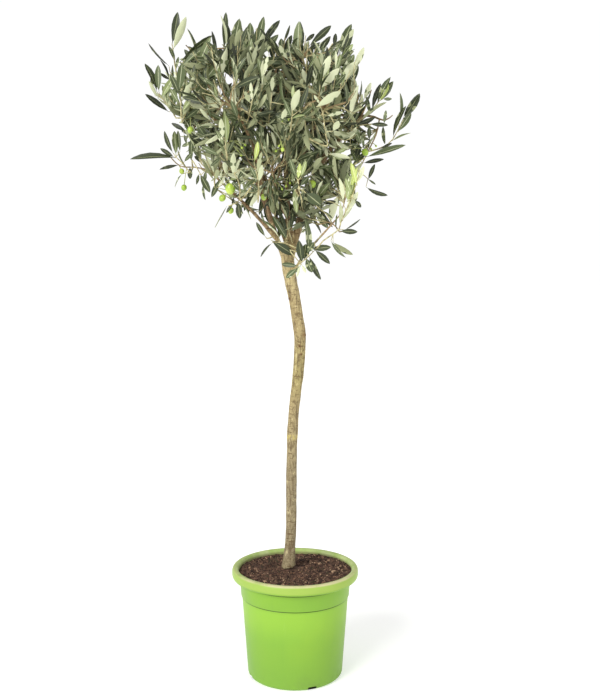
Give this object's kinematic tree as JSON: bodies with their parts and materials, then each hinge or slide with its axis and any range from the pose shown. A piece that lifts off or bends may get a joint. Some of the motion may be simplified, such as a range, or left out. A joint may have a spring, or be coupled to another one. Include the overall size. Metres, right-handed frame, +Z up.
{
  "type": "potted olive standard tree",
  "caption": "Young olive tree grown as a standard: a bare, slightly crooked stem under a round head of narrow grey-green leaves and green fruit, in a round plastic nursery pot.",
  "frame": {"origin": "centre of the pot's flat underside", "axes": "+Z up along the pot's axis, the front of the tree faces -Y, +X to its right"},
  "size_m": [0.6481, 0.524, 1.5025],
  "materials": {
    "green_plastic": "satin moulded plastic, lime green",
    "potting_soil": "coarse dark brown bark and peat mix",
    "olive_bark": "smooth khaki bark with fine cross marks",
    "olive_leaf": "leathery leaf, grey-green above and silvery below"
  },
  "bodies": {
    "root": {"pot": "green_plastic", "soil": "potting_soil", "trunk": "olive_bark", "bough_left": "olive_bark", "bough_right": "olive_bark", "bough_back": "olive_bark", "bough_top_right": "olive_bark", "bough_top_left": "olive_bark", "bough_top_back": "olive_bark", "bough_front_left": "olive_bark", "bough_front_right": "olive_bark", "bough_back_left": "olive_bark", "bough_back_right": "olive_bark", "bough_left_low": "olive_bark", "bough_front_low": "olive_bark", "bough_back_low": "olive_bark", "bough_shoot_low": "olive_bark", "foliage_left": "olive_leaf", "foliage_right": "olive_leaf", "foliage_back": "olive_leaf", "foliage_top_right": "olive_leaf", "foliage_top_left": "olive_leaf", "foliage_top_back": "olive_leaf", "foliage_front_left": "olive_leaf", "foliage_front_right": "olive_leaf", "foliage_back_left": "olive_leaf", "foliage_back_right": "olive_leaf", "foliage_left_low": "olive_leaf", "foliage_front_low": "olive_leaf", "foliage_back_low": "olive_leaf", "foliage_shoot_low": "olive_leaf"}
  },
  "joints": []
}
